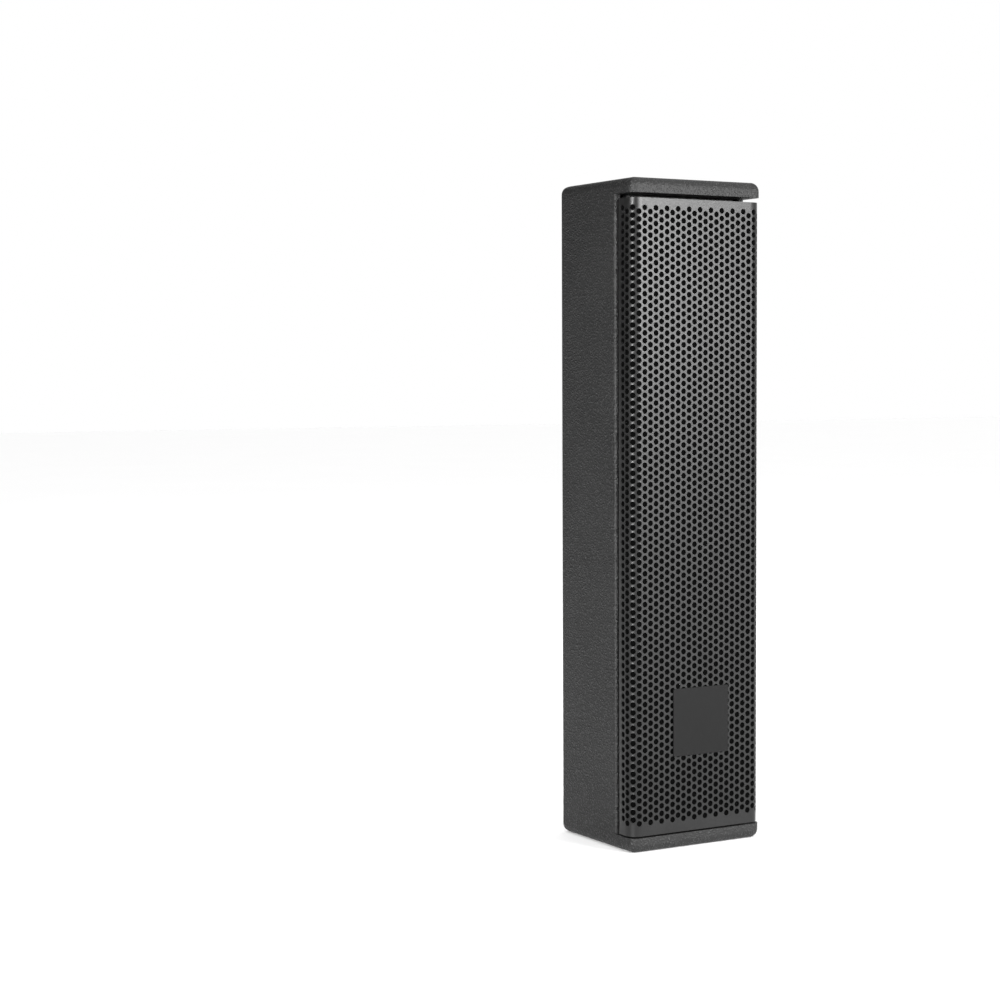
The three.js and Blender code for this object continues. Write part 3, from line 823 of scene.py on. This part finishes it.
MIDRANGE = {
    "label": "mid", "frame": "frame_steel", "dome": "cap_metal", "ring": RIM_METAL, "lip": TRIM_RING,
    "half": 46.8, "chamfer": 19, "corner": 8, "bevel": (0.7, 0.6), "ledge": 21.9, "mouth": 42.0,
    "throat": 38.0, "screw": 34.5, "notch": 3.9, "notch_depth": 21.7, "basket": 39.6, "cutout": 40.2,
    "roll": [(41.6, 21.3), (41.0, 21.3), (40.5, 20.7), (39.9, 20.0), (39.2, 19.75), (38.4, 20.1),
             (37.7, 21.0), (37.1, 21.9), (36.4, 22.0), (35.8, 22.4), (35.3, 22.9), (34.6, 23.1)],
    "flex": (21.9, 23.0),
    "cone": [(35.6, 23.35), (30.0, 24.2), (24.0, 25.4), (18.0, 27.0), (13.5, 28.6), (11.3, 29.6)],
    "cap": [(10.9, 29.0), (10.3, 28.4), (9.4, 26.9), (7.6, 25.5), (5.4, 24.4), (2.8, 23.8), (0, 23.6)],
    "glue": (11.4, 28.7, 0.6), "gasket": 22.3, "shade_ring": ((40.75, 41.95), (20.7, 21.2)),
    "bead": (39.55, 19.95, 1.15),
}
BASKET = {"front": 21.8, "shoulder": 30, "rear": 28.5, "seat": 38.5, "ring": (40, 41.5), "hub": 13,
          "wall": 1.5, "seat_inner": 21, "window": (25.5, 37), "window_width": 30, "window_reach": 60}
SPIDER = {"inner": (11.2, 35.6), "outer": (25.4, 37.8), "ripples": 4, "wave": 0.42}
COIL_RADII = (10.0, 10.5, 10.9)


def driver_style(number):
    return MIDRANGE if number == MIDDLE_DRIVER else WOOFER


def driver_height(number):
    return middle(node_box(f"driver_frame_{number}")[2])


def cut_square(half, chamfer, radius, inset=0.0):
    """A square with cut and rounded corners, moved in by inset."""
    half -= inset
    near = half - (chamfer - (2 - math.sqrt(2)) * inset)
    corners = [(half, -near), (half, near), (near, half), (-near, half),
               (-half, near), (-half, -near), (-near, -half), (near, -half)]
    return fillet(corners, max(radius - inset, 0.5), 5)


def polar(outline, angles):
    """The outline's distance from the middle at each angle from +Z towards +X."""
    outline = np.asarray(outline, float)
    ahead = np.roll(outline, -1, 0)
    dense = np.concatenate([outline + (ahead - outline) * t for t in np.linspace(0, 1, 12, endpoint=False)])
    bearings = np.arctan2(dense[:, 0], dense[:, 1]) % (2 * math.pi)
    order = np.argsort(bearings)
    return np.interp(angles, bearings[order], np.hypot(*dense[order].T), period=2 * math.pi)


def frame_outline(style, inset, angles):
    return polar(cut_square(style["half"], style["chamfer"], style["corner"], inset), angles)


def driver_flange(name, style, number):
    """The front of a driver's frame: a raised plate with a sunk seat for the surround."""
    front = node_box(f"driver_frame_{number}")[1][0]
    back = node_box("baffle")[1][0] - 0.3
    angles = around(256)
    bevel_width, bevel_depth = style["bevel"]
    mouth, throat, ledge = style["mouth"], style["throat"], style["ledge"]
    step = style["basket"] + 1.2
    edge = [frame_outline(style, inset, angles) for inset in (0, 0.12, bevel_width, bevel_width + 0.3)]
    levels = [
        (step, back), (step, style["gasket"]),
        (edge[0], style["gasket"]), (edge[0], front + bevel_depth + 0.25), (edge[1], front + bevel_depth),
        (edge[2], front + 0.06), (edge[3], front),
        (mouth + 0.5, front), (mouth + 0.15, front + 0.12), (mouth, front + 0.45),
        (mouth, ledge), (throat, ledge), (throat, back),
    ]
    rings = [turned(radius, depth, angles) for radius, depth in levels]
    flange = solid(name, *loft(rings, closed=True), degrees=28)
    pocket = [(0, front - 3), (style["notch"], front - 3), (style["notch"], style["notch_depth"]),
              (0, style["notch_depth"])]
    tools = [lathe("pocket", pocket, x=side * style["screw"], z=level * style["screw"], segments=40)
             for side, level in CORNERS]
    return carve(flange, combine("pockets", tools), degrees=28)


def driver_gasket(name, style):
    """The black foam strip between a frame and the baffle."""
    angles = around(160)
    edge, hole = frame_outline(style, -0.25, angles), style["basket"] + 1.4
    front, back = style["gasket"] + 0.05, node_box("baffle")[1][0] - 0.1
    rings = [turned(radius, depth, angles)
             for radius, depth in ((edge, front), (edge, back), (hole, back), (hole, front))]
    return solid(name, *loft(rings, closed=True))


def cross(reach, half):
    """The level and the upright arm of a cross."""
    return rectangle((-reach, reach), (-half, half)), rectangle((-half, half), (-reach, reach))


def driver_basket(name, style):
    """The pressed basket behind the flange, with four windows between its arms."""
    b = BASKET
    front, shoulder, wall = style["basket"], style["basket"] * 0.98, b["wall"]
    outline = [
        (front, b["front"]), (shoulder, b["shoulder"]), (b["rear"], b["seat"]), (b["rear"], b["ring"][1]),
        (b["hub"], b["ring"][1]), (b["hub"], b["ring"][0]), (b["seat_inner"], b["ring"][0]),
        (b["seat_inner"], b["seat"]), (b["rear"] - wall, b["seat"]), (shoulder - wall, b["shoulder"]),
        (front - wall, b["front"]),
    ]
    basket = lathe(name, fillet(outline, 0.4, 2))
    for outline in cross(b["window_reach"], b["window_width"] / 2):
        carve(basket, tablet("window", outline, *b["window"]))
    return basket


def domed_ring(radius, depth, width, steps=10):
    """The outline of a low bead of glue."""
    turn = [math.pi * step / steps for step in range(steps + 1)]
    return [(radius + width * math.cos(a), depth - 0.6 * width * math.sin(a)) for a in turn] + [
        (radius - width, depth + 0.3), (radius + width, depth + 0.3)]


def screw_master():
    """A pan-head screw with a cross recess, its seat at depth 0 and its head forward of it."""
    head = fillet([(0, -2.3), (2.3, -2.1), (3.5, -0.9), (3.5, 0), (1.6, 0), (1.6, 3), (0, 3)],
                  [0, 1.4, 0.6, 0.15, 0, 0.2, 0], 5)
    screw = lathe("screw_master", head, segments=40)
    for outline in cross(2.1, 0.42):
        carve(screw, tablet("arm", outline, -3.4, -1.1))
    return screw


def motor(name, number):
    """Front plate, ring magnet and back plate with its pole."""
    (x0, x1), (front, back), _ = node_box(f"motor_{number}")
    hole, pole, plate, magnet = 11.6, 9.4, 26.0, (x1 - x0) / 2
    seams = (front + 4.2, back - 4.2)
    front_plate = lathe("plate", fillet(rectangle((hole, plate), (front, seams[0])), 0.4, 3))
    yoke = [(0, front), (pole, front), (pole, seams[1]), (plate, seams[1]), (plate, back), (0, back)]
    yoke = lathe("yoke", fillet(yoke, [0, 0.4, 0, 0.4, 0.6, 0], 3))
    ring = rectangle((13.5, magnet), (seams[0] + 0.05, seams[1] - 0.05))
    return combine(f"{name}_steel", [front_plate, yoke]), lathe(f"{name}_magnet", fillet(ring, 0.8, 3))


def spider(name):
    """A corrugated disc, cupped so that its inner edge lies nearer the front."""
    inner, outer = SPIDER["inner"], SPIDER["outer"]
    line = []
    for t in np.linspace(0, 1, 49):
        ripple = SPIDER["wave"] * math.sin(2 * math.pi * SPIDER["ripples"] * t) * math.sin(math.pi * t) ** 0.4
        line.append((inner[0] + (outer[0] - inner[0]) * t, inner[1] + (outer[1] - inner[1]) * t + ripple))
    return lathe(name, skin(line, 0.35))


def voice_coil(name, number):
    _, (front, back), _ = node_box(f"voice_coil_{number}")
    inner, former, winding = COIL_RADII
    return lathe(name, [(inner, front), (former, front), (former, back - 7), (winding, back - 7),
                        (winding, back), (inner, back)], segments=64)


def build_driver_masters(style, number):
    """The pieces of one kind of driver, about the origin's height."""
    label = style["label"]

    def pressed(part, steps, thickness, **settings):
        return lathe(f"{label}_{part}", skin(smooth_line(style[part], steps), thickness), **settings)

    return {
        "flange": driver_flange(f"{label}_flange", style, number),
        "basket": driver_basket(f"{label}_basket", style),
        "roll": pressed("roll", 4, 0.45, segments=128),
        "cone": pressed("cone", 5, 0.5, segments=128),
        "cap": pressed("cap", 6, 0.35, degrees=50),
        "glue": lathe(f"{label}_glue", domed_ring(*style["glue"]), degrees=60),
        "bead": lathe(f"{label}_bead", domed_ring(*style["bead"]), segments=128, degrees=60),
        "shade_ring": lathe(f"{label}_seal", fillet(rectangle(*style["shade_ring"]), 0.15, 3), segments=128),
        "gasket": driver_gasket(f"{label}_gasket", style),
        "spider": spider(f"{label}_spider"),
    }


def build_drivers():
    masters = {s["label"]: build_driver_masters(s, n) for s, n in ((WOOFER, 1), (MIDRANGE, MIDDLE_DRIVER))}
    screw = screw_master()
    for number in DRIVERS:
        style, height = driver_style(number), driver_height(number)
        master = masters[style["label"]]
        moving, frame_slot = f"moving_cone_{number}", style["frame"]
        for part, name, body, slot, material, node in (
            ("flange", "frame_flange", "cabinet", frame_slot, None, "driver_frame"),
            ("basket", "frame_basket", "cabinet", frame_slot, None, None),
            ("gasket", "frame_gasket", "cabinet", frame_slot, GASKET_AND_SHADE, None),
            # The dark ring in each surround's groove is painted shade.
            ("shade_ring", "surround_shade_ring", "cabinet", "surround_rubber", GASKET_AND_SHADE, None),
            # The woofers' crest rings are light grey, a painted highlight; the middle driver's is a polished
            # metal ring.
            ("bead", "surround_bead", "cabinet", "surround_rubber", style["lip"], None),
            ("cone", "paper_cone", moving, "cone_paper", None, "cone"),
            ("cap", "centre_cap", moving, style["dome"], None, "dust_cap"),
            ("glue", "cap_glue", moving, style["dome"], style["ring"], None),
        ):
            piece = copy_at(master[part], f"{name}_{number}", (0, 0, height))
            finish_piece(piece, slot, node and f"{node}_{number}", body, material)
        for part, name, slot, node, depths in (
            ("roll", "surround_roll", "surround_rubber", "surround", style["flex"]),
            ("spider", "spider_disc", "spider_cloth", "spider", (SPIDER["outer"][1], SPIDER["inner"][1])),
        ):
            piece = copy_at(master[part], f"{name}_{number}", (0, 0, height))
            finish_piece(piece, slot, f"{node}_{number}", None)
            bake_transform(piece)
        coil = voice_coil(f"coil_{number}", number)
        steel, ring = motor(f"driver_motor_{number}", number)
        for part in (coil, steel, ring):
            part.data.transform(shift(z=height))
        finish_piece(coil, "voice_coil_metal", f"voice_coil_{number}", moving)
        finish_piece(steel, "motor_steel", f"motor_{number}")
        finish_piece(ring, "motor_steel", material=FERRITE)
        reach, seat = style["screw"], style["notch_depth"]
        seats = [copy_at(screw, "seat", (side * reach, seat, height + level * reach),
                         turn=17 * number + 31 * side + 11 * level) for side, level in CORNERS]
        finish_piece(combine(f"frame_screws_{number}", seats), frame_slot, material=BLACK_ZINC)
    for part in [part for master in masters.values() for part in master.values()]:
        bpy.data.objects.remove(part)
    return screw


def solder_points():
    """The two soldered ends of the middle driver's leads, on the right of its cone."""
    height = driver_height(MIDDLE_DRIVER)
    moving = f"moving_cone_{MIDDLE_DRIVER}"
    former = 9.6
    dots, leads = [], []
    for x, rise in ((14.6, 8.4), (15.4, -3.4)):
        radius = math.hypot(x, rise)
        depth = float(np.interp(radius, *zip(*sorted(MIDRANGE["cone"]))))
        back = depth + 0.2
        dome = [(0, depth - 1.1), (0.9, depth - 0.95), (1.6, depth - 0.4), (1.8, back), (0, back)]
        dots.append(lathe("dot", fillet(dome, [0, 0.3, 0.3, 0, 0], 3), x, height + rise, 32, 60))
        start = np.array([x - 0.8, depth - 0.4, height + rise])
        end = np.array([former * x / radius, depth + 1.2, height + former * rise / radius])
        leads.append(tube("lead", [start, (start + end) / 2 - (0, 1.0, 0), end], 0.55))
    finish_piece(combine("solder_dots", dots), "cap_metal", body=moving, material=SOLDER)
    finish_piece(combine("tinsel_leads", leads), "cone_paper", body=moving, material=LEAD_BRAID)


def tube(name, line, radius, sides=12):
    """A round wire along a smooth line of points."""
    line = np.array(smooth_line(line, 8))
    rings = []
    for i, centre in enumerate(line):
        along = line[min(i + 1, len(line) - 1)] - line[max(i - 1, 0)]
        along /= np.linalg.norm(along)
        side = np.cross(along, (0.0, 0.0, 1.0) if abs(along[2]) < 0.9 else (1.0, 0.0, 0.0))
        side /= np.linalg.norm(side)
        up = np.cross(along, side)
        spokes = np.outer(np.cos(around(sides)), side) + np.outer(np.sin(around(sides)), up)
        rings.append(centre + radius * spokes)
    return solid(name, *loft(rings))


# ------------------------------------------------------------------------ rear and inside


SOCKET_HOLE = 12.6
SCREW_INSET = 5


def input_plate(screw):
    x, y, z = node_box("input_plate")
    plate = board("connector_plate", "input_plate", 3, 6, rear_edge=0.5)
    sockets = [node_box(node) for node in ("speaker_socket_left", "speaker_socket_right")]
    cutters = [bore(SOCKET_HOLE, y, middle(box[0]), middle(box[2]), segments=72, clearance=1)
               for box in sockets]
    carve(plate, combine("holes", cutters))
    finish_piece(plate, "plate_steel", "input_plate")
    smaller = Matrix.Diagonal((0.75, 0.42, 0.75, 1))
    seats = []
    for sx in (x[0] + SCREW_INSET, x[1] - SCREW_INSET):
        for sz in (z[0] + SCREW_INSET, z[1] - SCREW_INSET):
            seat = copy_at(screw, "seat")
            seat.data.transform(shift(sx, FRONT + y[1], sz) @ Matrix.Rotation(math.pi, 4, "Z") @ smaller
                                @ shift(depth=-FRONT))
            seats.append(seat)
    finish_piece(combine("plate_screws", seats), "plate_steel", material=BLACK_ZINC)


def four_round(name, outline, y0, y1, first):
    """Four copies of a tablet, a quarter turn apart about the Y axis, as one object."""
    one = tablet("quarter", outline, y0, y1)
    four = [copy_at(one, name, turn=first + 90 * quarter) for quarter in range(4)]
    bpy.data.objects.remove(one)
    return combine(name, four)


def speaker_socket(name, node):
    """A round four-pole socket: rim, ring-shaped mouth with four slots, middle post, four contacts."""
    x, y, z = node_box(node)
    place = shift(middle(x), 0, middle(z))
    floor = y[1] - 16
    outline = [(0, y[0]), (12.3, y[0]), (12.3, y[1]), (10.5, y[1]), (10.5, floor), (5, floor),
               (5, y[1] - 1.4), (3.2, y[1] - 1.4), (3.2, y[1] - 4), (0, y[1] - 4)]
    rounds = [0, 0.8, 0.5, 0.4, 0.3, 0.3, 0.6, 0.4, 0.3, 0]
    body = lathe(name, fillet(outline, rounds, 4), x=middle(x), z=middle(z))
    slots = four_round("slots", rectangle((-1.3, 1.3), (9.6, 11.6)), floor + 3, y[1] + 1, 0)
    slots.data.transform(place)
    carve(body, slots)
    finish_piece(body, "socket_plastic", node)
    contacts = four_round(f"{name}_contacts", rectangle((-1.2, 1.2), (5.1, 5.6)), floor + 0.1, y[1] - 5, 45)
    contacts.data.transform(place)
    finish_piece(contacts, "socket_plastic", material=BRASS)


def wall_insert(name, node, thread=3.4, root=3.85, pitch=1.25, mouth=0.6):
    """A flanged threaded insert. thread and root are the radii of its thread."""
    _, y, z = node_box(node)
    flange = y[1] - 1.4
    outline = fillet([(thread, y[0]), (5.4, y[0]), (5.4, flange), (8, flange), (8, y[1]), (3.9, y[1])],
                     [0.2, 0.4, 0, 0.3, 0.5, 0.2], 3)
    for turn in range(int((y[1] - y[0] - 2 * mouth) / pitch)):
        start = y[1] - mouth - turn * pitch
        outline += [(thread, start - 0.1 * pitch), (root, start - 0.5 * pitch), (thread, start - 0.9 * pitch)]
    insert = lathe(name, outline, z=middle(z), segments=64)
    finish_piece(insert, "insert_zinc", node)


def crossover():
    laminate = board("filter_board", "crossover_board", 2, 4, edge=0.15, rear_edge=0.15)
    finish_piece(laminate, "board_laminate", "crossover_board")
    stick = board("filter_resistor", "crossover_resistor", 0.6, 3, edge=0.5, rear_edge=0.5)
    finish_piece(stick, "resistor_ceramic", "crossover_resistor")
    x, y, z = node_box("crossover_coil")
    winding = fillet(rectangle((6, (x[1] - x[0]) / 2), y), 1.6, 5)
    coil = lathe("filter_coil", winding, x=middle(x), z=middle(z))
    finish_piece(coil, "coil_copper", "crossover_coil")
    x, y, z = node_box("crossover_capacitor")
    body = fillet(rectangle((0, (x[1] - x[0]) / 2), z), [0, 1.4, 1.4, 0], 4)
    angles = around(64)
    rings = [np.stack([middle(x) + r * np.cos(angles), middle(y) + r * np.sin(angles), np.full(64, level)], 1)
             for r, level in body if r > 0]
    finish_piece(solid("filter_capacitor", *loft(rings)), "capacitor_film", "crossover_capacitor")


def wadding():
    """A soft batt of fibre whose faces and edges swell unevenly."""
    x, y, z = node_box("wadding")
    draws = np.random.default_rng(11)
    waves = [(draws.uniform(0.02, 0.12, 3), draws.uniform(0, 6.3)) for _ in range(6)]
    corners = fillet(rectangle(x, y), 6, 5)
    outline = np.array([point for a, b in zip(corners, corners[1:] + corners[:1])
                        for point in np.linspace(a, b, 6, endpoint=False)])
    centre = np.array([middle(x), middle(y)])
    rings = []
    for level in np.linspace(0, 1, 66):
        pinch = 1 - 0.12 * (2 * abs(level - 0.5)) ** 10
        ring = centre + (outline - centre) * pinch
        place = np.column_stack([ring, np.full(len(ring), z[0] + (z[1] - z[0]) * level)])
        swell = sum(np.sin(place @ direction * 6 + phase) for direction, phase in waves) / len(waves)
        place[:, :2] = centre + (place[:, :2] - centre) * (0.965 + 0.03 * swell)[:, None]
        rings.append(place)
    batt = solid("fibre_wadding", *loft(rings), degrees=180)
    finish_piece(batt, "wadding_fibre", "wadding")


# --------------------------------------------------------------------------------- studio

CAMERA = {"place": (-0.9809, -1.4291, 0.3684), "yaw": 30.19, "pitch": 3.18, "roll": -0.25, "lens": 77.44}
LIGHTS_AIM = (0, 0, 0.3)
DARK_SIDE = (-0.56, 0.83, 0.0)     # where the darker part of the surroundings is, for the side board
WORLD_DARKENS = (0.0, 0.85)        # how far towards it the light starts and stops falling
WORLD_LIGHT = (1.02, 0.1)          # the surroundings' strength there
FLOOR_REACH = 14.0


def floor():
    mesh = bpy.data.meshes.new("studio_floor")
    limits = (-FLOOR_REACH, FLOOR_REACH)
    mesh.from_pydata([(x, y, 0) for x, y in rectangle(limits, limits)], [], [(0, 1, 2, 3)])
    ground = link("studio_floor", mesh)
    s = Shader("studio_floor")
    s.set(base_color=s.mix(s.noise(400, 2), grey(0.97), grey(0.99)), roughness=0.8, specular_ior_level=0.1)
    mesh.materials.append(s.material)


def area_light(name, place, size, power):
    data = bpy.data.lights.new(name, "AREA")
    data.shape, data.size, data.size_y, data.energy = "RECTANGLE", size[0], size[1], power
    lamp = link(name, data)
    lamp.location = place
    lamp.rotation_mode = "QUATERNION"
    lamp.rotation_quaternion = (Vector(LIGHTS_AIM) - Vector(place)).to_track_quat("-Z", "Y")


def surroundings():
    """White light from all round, weaker towards DARK_SIDE. The camera sees plain white."""
    world = bpy.data.worlds.new("studio")
    bpy.context.scene.world = world
    world.use_nodes = True
    tree = world.node_tree
    place = add_node(tree, "ShaderNodeTexCoord").outputs["Generated"]
    towards = add_node(tree, "ShaderNodeVectorMath", {0: place, 1: DARK_SIDE}, operation="DOT_PRODUCT")
    limits = zip(("From Min", "From Max", "To Min", "To Max"), WORLD_DARKENS + WORLD_LIGHT)
    light = add_node(tree, "ShaderNodeMapRange", {"Value": towards.outputs["Value"], **dict(limits)},
                     interpolation_type="SMOOTHSTEP").outputs["Result"]
    seen = add_node(tree, "ShaderNodeLightPath").outputs["Is Camera Ray"]
    plain = add_node(tree, "ShaderNodeMix", {"Factor": seen, "A": light, "B": 1.0}).outputs["Result"]
    for socket, value in (("Color", (1, 1, 1)), ("Strength", plain)):
        put(tree, tree.nodes["Background"].inputs[socket], value)


def studio():
    bpy.context.scene.view_settings.view_transform = "Standard"
    surroundings()
    area_light("key", (1.02, -2.29, 0.74), (1.0, 0.8), 84)
    area_light("rim", (-1.8, -1.4, 0.7), (0.2, 1.4), 80)
    overhead = bpy.data.lights.new("overhead", "SUN")
    overhead.energy, overhead.angle = 0.7, math.radians(60)
    link("overhead", overhead)


def camera():
    data = bpy.data.cameras.new("camera")
    data.lens, data.sensor_width = CAMERA["lens"], 36
    data.clip_start, data.clip_end = 0.05, 60
    eye = link("camera", data)
    eye.location = CAMERA["place"]
    yaw, pitch, roll = (math.radians(CAMERA[k]) for k in ("yaw", "pitch", "roll"))
    eye.rotation_mode = "QUATERNION"
    eye.rotation_quaternion = (Matrix.Rotation(-yaw, 4, "Z") @ Matrix.Rotation(math.pi / 2 - pitch, 4, "X")
                               @ Matrix.Rotation(roll, 4, "Z")).to_quaternion()
    bpy.context.scene.camera = eye


# ---------------------------------------------------------------------------------- build

camera()
studio()
floor()

end_panel("cap_top", "top_panel")
end_panel("cap_bottom", "bottom_panel")
side_panel("cabinet_side_left", "left_side_panel", -1)
side_panel("cabinet_side_right", "right_side_panel", 1)
baffle()
rear_panel()

perforated_grille()
grille_cloth()
badge()

screw_piece = build_drivers()
solder_points()
input_plate(screw_piece)
bpy.data.objects.remove(screw_piece)
speaker_socket("socket_body_left", "speaker_socket_left")
speaker_socket("socket_body_right", "speaker_socket_right")
wall_insert("insert_upper", "wall_insert_upper")
wall_insert("insert_lower", "wall_insert_lower")
crossover()
wadding()
